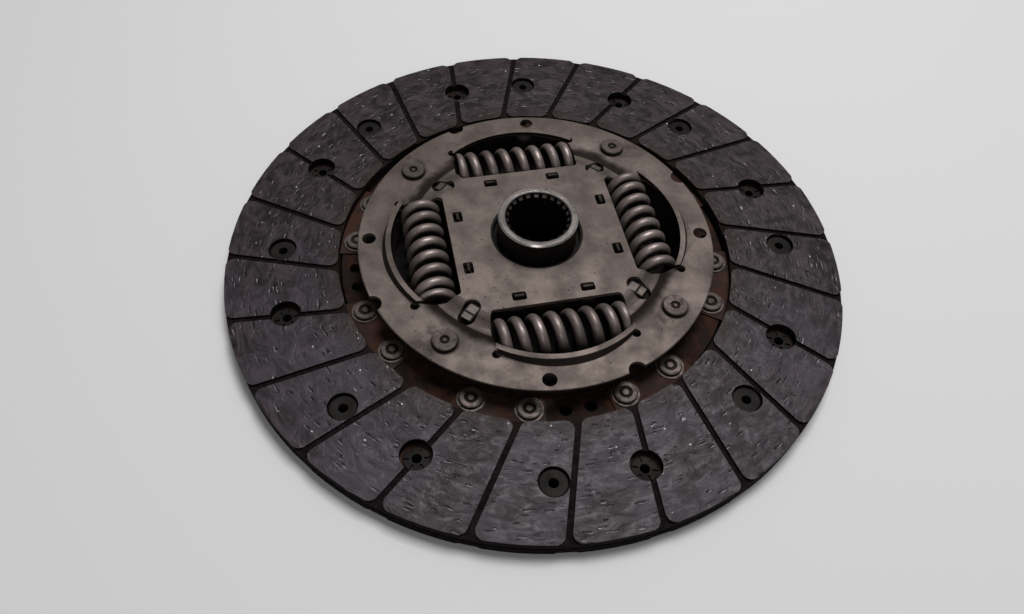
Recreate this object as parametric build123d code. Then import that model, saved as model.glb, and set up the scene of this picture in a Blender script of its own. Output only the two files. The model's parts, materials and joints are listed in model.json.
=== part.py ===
from build123d import *

# Clutch disc for a single-plate dry clutch, lying on its flywheel side.
# Millimetres. +Z points to the gearbox, and the origin is on the disc's axis, on the face that the disc
# rests on. Angles are in degrees, counter-clockwise from +X as seen from the gearbox side.

import math
import os

# ---------------------------------------------------------------- driving dimensions

# Fits
SEAT = 0.05  # clearance of pieces that are fixed to each other
RUN = 0.3  # clearance of pieces that move past each other

# Drive plate's rim, which everything out to the facings is set from
DRIVE_R = 76.5
DRIVE_WALL_SETBACK = 10.6  # outside of the drawn wall, inside the rim's edge
DRIVE_WALL_R = DRIVE_R - DRIVE_WALL_SETBACK

# Friction facings
FACING_R = 120.0
RIM_CLEARANCE = 1.0  # facings' bore outside the drive plate's rim
FACING_BORE_R = DRIVE_R + RIM_CLEARANCE
FACING_T = 3.5
CUSHION_GAP = 1.1  # room between the facings, for the waved segments
GROOVES = 24
GROOVE_W = 2.2
GROOVE_DEPTH = 1.0
GROOVE_R_OUT, GROOVE_ANGLE_OUT = 119.0, 9.02  # two points of the first groove's centre line
GROOVE_R_IN, GROOVE_ANGLE_IN = 81.4, 14.26
PAD_CORNER_R = 3.2

# Facing rivets
FACING_RIVET_CIRCLE_R = 99.17
FACING_RIVET_OFFSET = 13.4  # degrees either side of a segment's middle
COUNTERBORE_R = 5.4
COUNTERBORE_FLOOR = 1.5  # facing left under a rivet's head
TAIL_HOLE_R = 5.65
FACING_HEAD_R = 4.9
FACING_HEAD_T = 0.8
FACING_SHANK_R = 2.5
FACING_TAIL_R = 4.8
FACING_TAIL_T = 0.9
FACING_BORE_OF_RIVET_R = 1.75
FACING_HEAD_EDGE = 0.3  # chamfer round the head
FACING_TAIL_CURL = 0.4  # how far the rolled tail's underside is rounded in
FACING_TAIL_EDGE = 0.2
PETALS = 6
PETAL_SLOT_W = 0.8
PETAL_SLOT_REACH = 0.3  # the slots run this far past the tail's edge

# Cushion segments
SEGMENTS = 8
SEGMENT_ANGLE = 39.1  # middle of the first segment
SEGMENT_T = 0.7
SEGMENT_SETBACK = 3.0  # segment's edge inside the facings' edge
SEGMENT_R_OUT = FACING_R - SEGMENT_SETBACK
PADDLE_SETBACK = 1.5  # wide part's inner edge, outside the facings' bore
PADDLE_R_IN = FACING_BORE_R + PADDLE_SETBACK
PADDLE_HALF_ANGLE = 21.4
ROOT_HALF_ANGLE = 13.0
PADDLE_CORNER_R = 3.0
ROOT_CORNER_R = 2.0
WAVE_FLAT_W = 13.0  # flat of each half of the wave, either side of a rivet

# Segment rivets
SEGMENT_RIVET_OFFSET = 8.35  # degrees either side of a segment's middle
SEGMENT_RIVET_SHANK_R = 2.6
SEGMENT_RIVET_COLLAR_R = 5.2
SEGMENT_RIVET_CIRCLE_R = DRIVE_R - SEGMENT_RIVET_COLLAR_R  # the collars reach the rim's edge
SEGMENT_ROOT_MARGIN = 4.5  # segment left inside the rivets' circle
SEGMENT_R_IN = SEGMENT_RIVET_CIRCLE_R - SEGMENT_ROOT_MARGIN
SEGMENT_RIVET_COLLAR_T = 0.5
SEGMENT_RIVET_HEAD_R = 4.3
SEGMENT_RIVET_HEAD_T = 1.3
SEGMENT_RIVET_TAIL_R = 4.0
SEGMENT_RIVET_TAIL_T = 1.4
SEGMENT_RIVET_EDGE = (0.4, 0.3)  # head's edge: in from the side, and down from the top
SEGMENT_RIVET_GROOVE_R = (1.4, 2.5)  # ring groove in the head
RIVET_GROOVE_DEPTH = 0.7
RIVET_GROOVE_SLOPE = 0.3
RIVET_BOSS_DROP = 0.2  # the boss inside the groove, below the head's top
RIVET_TAIL_EDGE = (1.0, 0.9)  # rounded tail: in from the side, and along the rivet

# Damper: four windows on the axes at this angle, and four arms half-way between them
WINDOWS = 4
WINDOW_ANGLE = 16.45
WINDOW_U_IN = 33.5  # straight inner edge, from the disc's axis
WINDOW_HALF_L = 24.2
WINDOW_CORNER_R = 1.5
WINDOW_SIDE_U, WINDOW_SIDE_BOW = 43.0, 1.5  # the sides bow outwards round the springs' ends
MID_Z = 10.6  # middle between the plates, and the springs' axes
FLANGE_T = 2.9
FLANGE_DROP = 0.45  # flange's middle below that
PLATE_GAP = 4.7  # between the two plates at their rings

# Drive plate
DRIVE_T = 2.0
DRIVE_RIM_TOP_Z = 3.7
DRIVE_WALL_BEND_R = 1.9
DRIVE_RIM_BEND_R = 0.8
DRIVE_RING_R_IN = 50.0
DRIVE_MIDDLE_R = 42.0
DRIVE_MIDDLE_DROP = 2.05
BALANCE_HOLE_R = 2.3
BALANCE_HOLE_OFFSET = 3.65  # degrees either side of a window's axis

# Retainer plate
RETAINER_T = 1.6
RETAINER_R = 69.2
RETAINER_EDGE_R = 0.4
PLATE_BORE_R = 18.0
RETAINER_MIDDLE_R = 43.5
RETAINER_MIDDLE_RISE = 2.05
RETAINER_SHELF_R = (46.9, 49.7)  # nearly flat shelf round the foot of the raised middle
RETAINER_SHELF_DROP = (0.7, 0.85)  # the shelf's two edges below the ring
RETAINER_STEP_W = 0.3
RETAINER_STEP_FOOT_DROP = 1.05  # foot of the small step at the shelf's edge, below the ring
RETAINER_RING_R_IN = 53.6
LIP_RISE = 2.75  # turned-up lip above the ring
LIP_FOOT_MID = (59.3, 61.05)  # inner and outer face in the middle, at the plate's underside
LIP_FOOT_END = (50.6, 51.2)  # the same at the lip's ends
LIP_TOP_MID = (56.45, 58.4)
LIP_TOP_END = (47.8, 50.1)
LIP_TOP_HALF_L = 25.4
RELIEF_R = 1.7
RELIEF_U, RELIEF_V = 51.0, 25.5
LUG_SLOT_U, LUG_SLOT_V = 29.04, 12.95
LUG_SLOT_W, LUG_SLOT_L = 3.7, 5.4
LUG_SLOT_CORNER_R = 0.8
TAB_HOLE_R_IN, TAB_HOLE_R_OUT = 40.2, 50.3
TAB_HOLE_W = 6.5
GAUGE_HOLE_R = 2.7
GAUGE_HOLE_CIRCLE_R, GAUGE_HOLE_ANGLE = 64.93, 8.03
NOTCH_R = 3.5
NOTCH_CIRCLE_R, NOTCH_ANGLE = 69.5, 34.7

# Stop rivets
STOP_CIRCLE_R = 60.28
STOP_ANGLE = 61.64
STOP_HEAD_R = 4.6
STOP_HEAD_T = 1.72
STOP_HEAD_EDGE = (0.35, 0.35)
STOP_GROOVE_R = (0.9, 1.85)
STOP_SHOULDER_R = 4.0
STOP_SHANK_R = 3.0
STOP_TAIL_R = 3.5
STOP_TAIL_T = 1.5
TRAVEL = 8.0  # degrees that the hub turns either way

# Springs
SPRING_U = 43.0
SPRING_COIL_R = 5.9
WIRE_R = 2.05
SPRING_PITCH = 6.4
SPRING_HALF_L = 24.1
SPRING_CUT_W = 3  # width of the block that grinds the ends, in outer radii

# Hub
HUB_TOP_Z = 26.0
HUB_BOTTOM_Z = 1.6
HUB_R = 15.3
HUB_COLLAR_R = 19.0
SPLINE_TEETH = 23
SPLINE_ROOT_R = 12.5
SPLINE_TIP_R = 11.3
SPLINE_ANGLE = 97.4  # middle of one tooth
SPLINE_GAP_ROOT_W = 1.5
SPLINE_GAP_TIP_W = 1.9
HUB_CHAMFER = 0.6
FLANGE_R = 64.5

# Friction stack
BUSH_SLEEVE_T = 0.85
BUSH_FOOT_R = 19.6
BUSH_FOOT_T = 1.3
BUSH_TOP_DROP = 0.3  # gearbox-side bush below the retainer's middle
FRICTION_R_IN, FRICTION_R_OUT = 20.2, 33.2
FRICTION_T = 1.45
LUG_W, LUG_T = 3.6, 1.0
LUG_TOP_Z = 17.3
DISC_SPRING_R_IN, DISC_SPRING_R_OUT = 21.5, 30.2
DISC_SPRING_T = 0.7
TAB_W = 5.0
TAB_R_BEND, TAB_R_END = 45.4, 47.8
TAB_BEND_DROP, TAB_END_DROP = 0.4, 0.75  # the tab's bend and end below its root
TAB_ROOT_OVERLAP = 1.0  # how far a tab reaches back into the ring

# ---------------------------------------------------------------- levels worked out from them

LOWER_FACE_TOP = FACING_T
UPPER_FACE_BASE = FACING_T + CUSHION_GAP
FACING_TOP = UPPER_FACE_BASE + FACING_T
FLANGE_BASE = MID_Z - FLANGE_DROP - FLANGE_T / 2
FLANGE_TOP = FLANGE_BASE + FLANGE_T
DRIVE_RING_TOP = MID_Z - PLATE_GAP / 2
DRIVE_RING_BASE = DRIVE_RING_TOP - DRIVE_T
DRIVE_MIDDLE_TOP = DRIVE_RING_TOP - DRIVE_MIDDLE_DROP
RETAINER_RING_BASE = MID_Z + PLATE_GAP / 2
RETAINER_RING_TOP = RETAINER_RING_BASE + RETAINER_T
RETAINER_MIDDLE_TOP = RETAINER_RING_TOP + RETAINER_MIDDLE_RISE
RETAINER_MIDDLE_BASE = RETAINER_MIDDLE_TOP - RETAINER_T
SEGMENT_BASE = DRIVE_RIM_TOP_Z
SEGMENT_TOP = SEGMENT_BASE + SEGMENT_T
WINDOW_STEP = 360 / WINDOWS
ARM_ANGLE = WINDOW_ANGLE + WINDOW_STEP / 2


# ---------------------------------------------------------------- helpers


def turned(shape, first, count, step=None):
    """Copies of a shape that was drawn on +X, turned to evenly spaced angles."""
    step = step or 360 / count
    return [Rot(0, 0, first + step * k) * shape for k in range(count)]


def raised(sketch, low, high):
    """A flat outline made solid between two heights."""
    return extrude(Pos(0, 0, low) * sketch, amount=high - low)


def ring(r_in, r_out, low, high):
    return raised(Circle(r_out) - Circle(r_in), low, high)


def turned_section(points):
    """A closed (r, z) outline turned about the disc's axis."""
    return revolve(Plane.XZ * make_face(Polyline(points, close=True)), Axis.Z)


def sector(r_in, r_out, half_angle):
    """A flat ring sector about +X."""
    reach = 2 * r_out
    half = math.radians(half_angle)
    wedge = make_face(
        Polyline(
            (0, 0),
            (reach * math.cos(half), -reach * math.sin(half)),
            (reach * math.cos(half), reach * math.sin(half)),
            close=True,
        )
    )
    return (Circle(r_out) - Circle(r_in)) & wedge


def write(name, shapes):
    """One STEP file to a node; like pieces in a list stay separate solids."""
    shapes = shapes if isinstance(shapes, list) else [shapes]
    solids = [solid for shape in shapes for solid in shape.solids()]
    body = solids[0] if len(solids) == 1 else Compound(children=solids)
    body.label = name
    export_step(body, f"parts/{name}.step")


# ---------------------------------------------------------------- friction facings


def polar(r, angle):
    return Vector(r * math.cos(math.radians(angle)), r * math.sin(math.radians(angle)))


def pad():
    """The flat outline of one pad between two grooves."""
    outer = polar(GROOVE_R_OUT, GROOVE_ANGLE_OUT)
    inner = polar(GROOVE_R_IN, GROOVE_ANGLE_IN)
    middle = (outer + inner) * 0.5
    slant = math.degrees(math.atan2(outer.Y - inner.Y, outer.X - inner.X))
    groove = Pos(middle.X, middle.Y) * Rot(0, 0, slant) * Rectangle(FACING_R, GROOVE_W)
    both = turned(groove, 0, 2, 360 / GROOVES)
    pieces = (Circle(FACING_R) - Circle(FACING_BORE_R)) - both
    outline = Sketch() + pieces.faces().sort_by(SortBy.AREA)[0]
    return fillet(outline.vertices(), PAD_CORNER_R)


def facing():
    """Gearbox-side facing, with its grooved face at the top."""
    grooves = (Circle(FACING_R) - Circle(FACING_BORE_R)) - turned(pad(), 0, GROOVES)
    body = ring(FACING_BORE_R, FACING_R, UPPER_FACE_BASE, FACING_TOP)
    body -= raised(grooves, FACING_TOP - GROOVE_DEPTH, FACING_TOP)
    spot = Pos(FACING_RIVET_CIRCLE_R, 0)
    heads = SEGMENT_ANGLE + FACING_RIVET_OFFSET
    tails = SEGMENT_ANGLE - FACING_RIVET_OFFSET
    counterbore = spot * Circle(COUNTERBORE_R)
    shank = spot * Circle(FACING_SHANK_R + SEAT)
    tail = spot * Circle(TAIL_HOLE_R)
    seat = UPPER_FACE_BASE + COUNTERBORE_FLOOR
    body -= turned(raised(counterbore, seat, FACING_TOP), heads, SEGMENTS)
    body -= turned(raised(shank, UPPER_FACE_BASE, seat), heads, SEGMENTS)
    body -= turned(raised(tail, UPPER_FACE_BASE, FACING_TOP), tails, SEGMENTS)
    return body


def flipped(shape):
    """A gearbox-side piece turned over about a segment's middle line to the flywheel side."""
    middle = Axis((0, 0, FACING_TOP / 2), polar(1, SEGMENT_ANGLE))
    return shape.rotate(middle, 180)


def facing_rivet():
    """Tubular rivet: head in the counterbore, petalled tail rolled over under the segment."""
    head_base = UPPER_FACE_BASE + COUNTERBORE_FLOOR
    tail_top = UPPER_FACE_BASE - SEGMENT_T
    tail_base = tail_top - FACING_TAIL_T
    body = turned_section(
        [
            (FACING_BORE_OF_RIVET_R, tail_base),
            (FACING_SHANK_R, tail_base),
            (FACING_TAIL_R - FACING_TAIL_CURL, tail_base + FACING_TAIL_EDGE),
            (FACING_TAIL_R, tail_top - FACING_TAIL_EDGE),
            (FACING_TAIL_R - FACING_TAIL_EDGE, tail_top),
            (FACING_SHANK_R, tail_top),
            (FACING_SHANK_R, head_base),
            (FACING_HEAD_R, head_base),
            (FACING_HEAD_R, head_base + FACING_HEAD_T - FACING_HEAD_EDGE),
            (FACING_HEAD_R - FACING_HEAD_EDGE, head_base + FACING_HEAD_T),
            (FACING_BORE_OF_RIVET_R, head_base + FACING_HEAD_T),
        ]
    )
    middle = (FACING_SHANK_R + FACING_TAIL_R) / 2 + PETAL_SLOT_REACH
    length = FACING_TAIL_R - FACING_SHANK_R + 2 * PETAL_SLOT_REACH
    slot = Pos(middle, 0, tail_base + FACING_TAIL_T / 2) * Box(length, PETAL_SLOT_W, FACING_TAIL_T)
    return body - turned(slot, 0, PETALS)


# ---------------------------------------------------------------- cushion segments


def segment():
    """Waved spring-steel segment about +X: flat root, one half low and one half high."""
    root = sector(SEGMENT_R_IN, PADDLE_R_IN + 2 * SEGMENT_T, ROOT_HALF_ANGLE)
    root = fillet(root.vertices().sort_by(lambda v: Vector(v).length)[:2], ROOT_CORNER_R)
    paddle = sector(PADDLE_R_IN, SEGMENT_R_OUT, PADDLE_HALF_ANGLE)
    paddle = fillet(paddle.vertices(), PADDLE_CORNER_R)
    # The wave runs across the paddle: low under one rivet, high under the other.
    low = LOWER_FACE_TOP
    high = UPPER_FACE_BASE - SEGMENT_T
    rivet_v = FACING_RIVET_CIRCLE_R * math.sin(math.radians(FACING_RIVET_OFFSET))
    bend = rivet_v - WAVE_FLAT_W / 2
    reach = FACING_R
    line = Polyline((-reach, low), (-bend, low), (bend, high), (reach, high))
    line = fillet(line.vertices().sort_by(Axis.X)[1:3], FACING_R)
    lower_edge = Plane.YZ * line
    upper_edge = Pos(0, 0, SEGMENT_T) * lower_edge
    sides = [Line(lower_edge @ 0, upper_edge @ 0), Line(lower_edge @ 1, upper_edge @ 1)]
    section = make_face([lower_edge.edges(), upper_edge.edges(), sides])
    wave = extrude(section, amount=FACING_R)
    body = (wave & raised(paddle, 0, FACING_TOP)) + raised(root, SEGMENT_BASE, SEGMENT_TOP)
    facing_hole = Pos(FACING_RIVET_CIRCLE_R, 0) * Circle(FACING_SHANK_R + SEAT)
    root_hole = Pos(SEGMENT_RIVET_CIRCLE_R, 0) * Circle(SEGMENT_RIVET_SHANK_R + SEAT)
    for side in (-1, 1):
        body -= Rot(0, 0, side * FACING_RIVET_OFFSET) * raised(facing_hole, 0, FACING_TOP)
        body -= Rot(0, 0, side * SEGMENT_RIVET_OFFSET) * raised(root_hole, 0, FACING_TOP)
    return body


def groove_in_head(radii, top):
    """The middle of a rivet head's outline: a ring groove round a low boss, from outside to inside."""
    boss_r, groove_r = radii
    floor = top - RIVET_GROOVE_DEPTH
    return [
        (groove_r, top),
        (groove_r - RIVET_GROOVE_SLOPE, floor),
        (boss_r, floor),
        (boss_r - RIVET_GROOVE_SLOPE, top - RIVET_BOSS_DROP),
        (0, top - RIVET_BOSS_DROP),
    ]


def segment_rivet():
    """Rivet through the drive plate's rim and a segment's root, drawn on the disc's axis."""
    collar_top = SEGMENT_TOP + SEGMENT_RIVET_COLLAR_T
    head_top = collar_top + SEGMENT_RIVET_HEAD_T
    plate_base = DRIVE_RIM_TOP_Z - DRIVE_T
    tail_base = plate_base - SEGMENT_RIVET_TAIL_T
    return turned_section(
        [
            (0, tail_base),
            (SEGMENT_RIVET_TAIL_R - RIVET_TAIL_EDGE[0], tail_base),
            (SEGMENT_RIVET_TAIL_R, tail_base + RIVET_TAIL_EDGE[1]),
            (SEGMENT_RIVET_TAIL_R, plate_base),
            (SEGMENT_RIVET_SHANK_R, plate_base),
            (SEGMENT_RIVET_SHANK_R, SEGMENT_TOP),
            (SEGMENT_RIVET_COLLAR_R, SEGMENT_TOP),
            (SEGMENT_RIVET_COLLAR_R, collar_top),
            (SEGMENT_RIVET_HEAD_R, collar_top),
            (SEGMENT_RIVET_HEAD_R, head_top - SEGMENT_RIVET_EDGE[1]),
            (SEGMENT_RIVET_HEAD_R - SEGMENT_RIVET_EDGE[0], head_top),
            *groove_in_head(SEGMENT_RIVET_GROOVE_R, head_top),
        ]
    )


# ---------------------------------------------------------------- spring windows


def bow(mid, end, half_l=WINDOW_HALF_L):
    """Arc across a window's outer side, through its middle and both ends."""
    return ThreePointArc((end, -half_l), (mid, 0), (end, half_l))


def bowed_strip(mid, end, half_l=WINDOW_HALF_L):
    """Flat strip between an inner and an outer bow, each given as (inner, outer)."""
    inner = bow(mid[0], end[0], half_l)
    outer = bow(mid[1], end[1], half_l)
    return make_face([inner, outer, Line(inner @ 0, outer @ 0), Line(inner @ 1, outer @ 1)])


def window():
    """Outline of a spring window about +X: straight inside, bowed outside and slightly at the sides."""
    outer = bow(LIP_FOOT_MID[0], LIP_FOOT_END[0])
    inner = Line((WINDOW_U_IN, -WINDOW_HALF_L), (WINDOW_U_IN, WINDOW_HALF_L))
    widest = WINDOW_HALF_L + WINDOW_SIDE_BOW
    sides = [
        ThreePointArc(outer @ 0, (WINDOW_SIDE_U, -widest), inner @ 0),
        ThreePointArc(outer @ 1, (WINDOW_SIDE_U, widest), inner @ 1),
    ]
    outline = make_face([outer, inner, *sides])
    return fillet(outline.vertices().sort_by(Axis.X)[:2], WINDOW_CORNER_R)


def lip():
    """Lip of the retainer's window, turned up and leaning in over the spring."""
    foot = Pos(0, 0, RETAINER_RING_BASE) * bowed_strip(LIP_FOOT_MID, LIP_FOOT_END)
    top = Pos(0, 0, RETAINER_RING_TOP + LIP_RISE) * bowed_strip(LIP_TOP_MID, LIP_TOP_END, LIP_TOP_HALF_L)
    return loft([foot, top], ruled=True)


def reliefs():
    """Round relief notches at the two ends of a lip."""
    return [Pos(RELIEF_U, side * RELIEF_V) * Circle(RELIEF_R) for side in (-1, 1)]


# ---------------------------------------------------------------- plates


def retainer_plate():
    top = [
        (PLATE_BORE_R, RETAINER_MIDDLE_TOP),
        (RETAINER_MIDDLE_R, RETAINER_MIDDLE_TOP),
        (RETAINER_SHELF_R[0], RETAINER_RING_TOP - RETAINER_SHELF_DROP[0]),
        (RETAINER_SHELF_R[1], RETAINER_RING_TOP - RETAINER_SHELF_DROP[1]),
        (RETAINER_SHELF_R[1] + RETAINER_STEP_W, RETAINER_RING_TOP - RETAINER_STEP_FOOT_DROP),
        (RETAINER_RING_R_IN, RETAINER_RING_TOP),
        (RETAINER_R, RETAINER_RING_TOP),
    ]
    base = [(r, z - RETAINER_T) for r, z in reversed(top)]
    body = turned_section(top + base)
    rim = body.edges().filter_by(GeomType.CIRCLE).group_by(lambda edge: edge.radius)[-1]
    body = fillet(rim.sort_by(Axis.Z)[-1], RETAINER_EDGE_R)
    cut_low, cut_high = RETAINER_RING_BASE - RETAINER_T, RETAINER_MIDDLE_TOP + RETAINER_T

    def cut(sketch, first):
        return turned(raised(sketch, cut_low, cut_high), first, WINDOWS)

    slot = fillet(Rectangle(LUG_SLOT_W, LUG_SLOT_L).vertices(), LUG_SLOT_CORNER_R)
    tab_hole = Pos((TAB_HOLE_R_IN + TAB_HOLE_R_OUT) / 2, 0) * SlotOverall(
        TAB_HOLE_R_OUT - TAB_HOLE_R_IN, TAB_HOLE_W
    )
    body -= cut(window(), WINDOW_ANGLE)
    for relief in reliefs():
        body -= cut(relief, WINDOW_ANGLE)
    body += turned(lip(), WINDOW_ANGLE, WINDOWS)
    for side in (-1, 1):
        body -= cut(Pos(LUG_SLOT_U, side * LUG_SLOT_V) * slot, WINDOW_ANGLE)
    body -= cut(tab_hole, ARM_ANGLE)
    body -= cut(Pos(STOP_CIRCLE_R, 0) * Circle(STOP_SHANK_R + SEAT), STOP_ANGLE)
    body -= cut(Pos(GAUGE_HOLE_CIRCLE_R, 0) * Circle(GAUGE_HOLE_R), GAUGE_HOLE_ANGLE)
    body -= cut(Pos(NOTCH_CIRCLE_R, 0) * Circle(NOTCH_R), NOTCH_ANGLE)
    return body


def drive_plate():
    wall_in = DRIVE_WALL_R - DRIVE_T
    bend_z = DRIVE_RIM_TOP_Z + DRIVE_RIM_BEND_R
    rim_base = DRIVE_RIM_TOP_Z - DRIVE_T
    bend_r = DRIVE_WALL_R + DRIVE_RIM_BEND_R
    corner = math.sqrt(0.5)
    big = DRIVE_RIM_BEND_R + DRIVE_T
    outline = [
        Polyline(
            (DRIVE_R, DRIVE_RIM_TOP_Z),
            (DRIVE_R, rim_base),
            (bend_r, rim_base),
        ),
        ThreePointArc(
            (bend_r, rim_base), (bend_r - big * corner, bend_z - big * corner), (wall_in, bend_z)
        ),
        Polyline(
            (wall_in, bend_z),
            (wall_in, DRIVE_RING_BASE),
            (DRIVE_RING_R_IN, DRIVE_RING_BASE),
            (DRIVE_MIDDLE_R, DRIVE_MIDDLE_TOP - DRIVE_T),
            (PLATE_BORE_R, DRIVE_MIDDLE_TOP - DRIVE_T),
            (PLATE_BORE_R, DRIVE_MIDDLE_TOP),
            (DRIVE_MIDDLE_R, DRIVE_MIDDLE_TOP),
            (DRIVE_RING_R_IN, DRIVE_RING_TOP),
            (DRIVE_WALL_R - DRIVE_WALL_BEND_R, DRIVE_RING_TOP),
        ),
        ThreePointArc(
            (DRIVE_WALL_R - DRIVE_WALL_BEND_R, DRIVE_RING_TOP),
            (
                DRIVE_WALL_R - DRIVE_WALL_BEND_R * (1 - corner),
                DRIVE_RING_TOP - DRIVE_WALL_BEND_R * (1 - corner),
            ),
            (DRIVE_WALL_R, DRIVE_RING_TOP - DRIVE_WALL_BEND_R),
        ),
        Line((DRIVE_WALL_R, DRIVE_RING_TOP - DRIVE_WALL_BEND_R), (DRIVE_WALL_R, bend_z)),
        ThreePointArc(
            (DRIVE_WALL_R, bend_z),
            (bend_r - DRIVE_RIM_BEND_R * corner, bend_z - DRIVE_RIM_BEND_R * corner),
            (bend_r, DRIVE_RIM_TOP_Z),
        ),
        Line((bend_r, DRIVE_RIM_TOP_Z), (DRIVE_R, DRIVE_RIM_TOP_Z)),
    ]
    section = make_face([edge for piece in outline for edge in piece.edges()])
    body = revolve(Plane.XZ * section, Axis.Z)
    cut_low, cut_high = 0, MID_Z

    def cut(sketch, first, count):
        return turned(raised(sketch, cut_low, cut_high), first, count)

    body -= cut(window(), WINDOW_ANGLE, WINDOWS)
    # Its lips mirror the retainer plate's, so that each spring is held from both sides.
    body += turned(mirror(lip(), about=Plane.XY.offset(MID_Z)), WINDOW_ANGLE, WINDOWS)
    body -= cut(Pos(STOP_CIRCLE_R, 0) * Circle(STOP_SHANK_R + SEAT), STOP_ANGLE, WINDOWS)
    rivet_hole = Pos(SEGMENT_RIVET_CIRCLE_R, 0) * Circle(SEGMENT_RIVET_SHANK_R + SEAT)
    balance_hole = Pos(SEGMENT_RIVET_CIRCLE_R, 0) * Circle(BALANCE_HOLE_R)
    for side in (-1, 1):
        body -= cut(rivet_hole, SEGMENT_ANGLE + side * SEGMENT_RIVET_OFFSET, SEGMENTS)
        body -= cut(balance_hole, WINDOW_ANGLE + side * BALANCE_HOLE_OFFSET, WINDOWS)
    return body


def stop_rivet():
    """Spacer rivet between the plates, drawn on the disc's axis."""
    head_top = RETAINER_RING_TOP + STOP_HEAD_T
    tail_base = DRIVE_RING_BASE - STOP_TAIL_T
    return turned_section(
        [
            (0, tail_base),
            (STOP_TAIL_R - RIVET_TAIL_EDGE[0], tail_base),
            (STOP_TAIL_R, tail_base + RIVET_TAIL_EDGE[1]),
            (STOP_TAIL_R, DRIVE_RING_BASE),
            (STOP_SHANK_R, DRIVE_RING_BASE),
            (STOP_SHANK_R, DRIVE_RING_TOP),
            (STOP_SHOULDER_R, DRIVE_RING_TOP),
            (STOP_SHOULDER_R, RETAINER_RING_BASE),
            (STOP_SHANK_R, RETAINER_RING_BASE),
            (STOP_SHANK_R, RETAINER_RING_TOP),
            (STOP_HEAD_R, RETAINER_RING_TOP),
            (STOP_HEAD_R, head_top - STOP_HEAD_EDGE[1]),
            (STOP_HEAD_R - STOP_HEAD_EDGE[0], head_top),
            *groove_in_head(STOP_GROOVE_R, head_top),
        ]
    )


# ---------------------------------------------------------------- springs


def damper_spring():
    """Coil spring lying along Y in its window, with its end coils ground flat."""
    turns = math.ceil(2 * SPRING_HALF_L / SPRING_PITCH) + 1
    height = turns * SPRING_PITCH
    path = Helix(
        pitch=SPRING_PITCH,
        height=height,
        radius=SPRING_COIL_R,
        center=(0, 0, -height / 2),
        lefthand=True,
    )
    wire = Plane(origin=path @ 0, z_dir=path % 0) * Circle(WIRE_R)
    coil = sweep(wire, path=path, is_frenet=True)
    width = SPRING_CUT_W * (SPRING_COIL_R + WIRE_R)
    ground = coil & Box(width, width, 2 * SPRING_HALF_L)
    return Pos(SPRING_U, 0, MID_Z) * Rot(90, 0, 0) * ground


# ---------------------------------------------------------------- hub


def splined_hub():
    body = turned_section(
        [
            (SPLINE_TIP_R, HUB_BOTTOM_Z + HUB_CHAMFER),
            (SPLINE_ROOT_R + HUB_CHAMFER, HUB_BOTTOM_Z),
            (HUB_R - HUB_CHAMFER, HUB_BOTTOM_Z),
            (HUB_R, HUB_BOTTOM_Z + HUB_CHAMFER),
            (HUB_R, FLANGE_BASE),
            (HUB_COLLAR_R, FLANGE_BASE),
            (HUB_COLLAR_R, FLANGE_TOP),
            (HUB_R, FLANGE_TOP),
            (HUB_R, HUB_TOP_Z - HUB_CHAMFER),
            (HUB_R - HUB_CHAMFER, HUB_TOP_Z),
            (SPLINE_ROOT_R + HUB_CHAMFER, HUB_TOP_Z),
            (SPLINE_TIP_R, HUB_TOP_Z - 2 * HUB_CHAMFER),
        ]
    )
    gap = make_face(
        Polyline(
            (SPLINE_TIP_R - 1, -SPLINE_GAP_TIP_W / 2),
            (SPLINE_ROOT_R, -SPLINE_GAP_ROOT_W / 2),
            (SPLINE_ROOT_R, SPLINE_GAP_ROOT_W / 2),
            (SPLINE_TIP_R - 1, SPLINE_GAP_TIP_W / 2),
            close=True,
        )
    )
    first_gap = SPLINE_ANGLE + 180 / SPLINE_TEETH
    return body - turned(raised(gap, 0, HUB_TOP_Z), first_gap, SPLINE_TEETH)


def hub_flange():
    """Four-armed flange: open spring windows, and open notches round the stop rivets."""
    outline = Circle(FLANGE_R) - Circle(HUB_COLLAR_R)
    opening = Pos(WINDOW_U_IN + FLANGE_R / 2, 0) * Rectangle(FLANGE_R, 2 * WINDOW_HALF_L)
    notch_r = STOP_SHOULDER_R + RUN
    end = Pos(STOP_CIRCLE_R, 0) * Circle(notch_r)
    end += Pos(STOP_CIRCLE_R + FLANGE_R / 2, 0) * Rectangle(FLANGE_R, 2 * notch_r)
    notch = sector(STOP_CIRCLE_R - notch_r, 2 * FLANGE_R, TRAVEL)
    notch += [Rot(0, 0, TRAVEL) * end, Rot(0, 0, -TRAVEL) * end]
    outline -= turned(opening, WINDOW_ANGLE, WINDOWS)
    outline -= turned(notch, STOP_ANGLE, WINDOWS)
    return raised(outline, FLANGE_BASE, FLANGE_TOP)


# ---------------------------------------------------------------- friction stack


def bush_gearbox_side():
    foot_base = FLANGE_TOP + RUN
    foot_top = foot_base + BUSH_FOOT_T
    sleeve_r = PLATE_BORE_R - SEAT
    return turned_section(
        [
            (HUB_R + RUN, foot_base),
            (BUSH_FOOT_R, foot_base),
            (BUSH_FOOT_R, foot_top),
            (sleeve_r, foot_top),
            (sleeve_r, RETAINER_MIDDLE_TOP - BUSH_TOP_DROP),
            (sleeve_r - BUSH_SLEEVE_T, RETAINER_MIDDLE_TOP - BUSH_TOP_DROP),
            (sleeve_r - BUSH_SLEEVE_T, foot_top),
            (HUB_R + RUN, foot_top),
        ]
    )


def bush_flywheel_side():
    foot_top = FLANGE_BASE - RUN
    sleeve_r = PLATE_BORE_R - SEAT
    sleeve_base = DRIVE_MIDDLE_TOP - DRIVE_T
    return turned_section(
        [
            (HUB_R + RUN, sleeve_base),
            (sleeve_r, sleeve_base),
            (sleeve_r, DRIVE_MIDDLE_TOP),
            (BUSH_FOOT_R, DRIVE_MIDDLE_TOP),
            (BUSH_FOOT_R, foot_top),
            (HUB_R + RUN, foot_top),
        ]
    )


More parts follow.
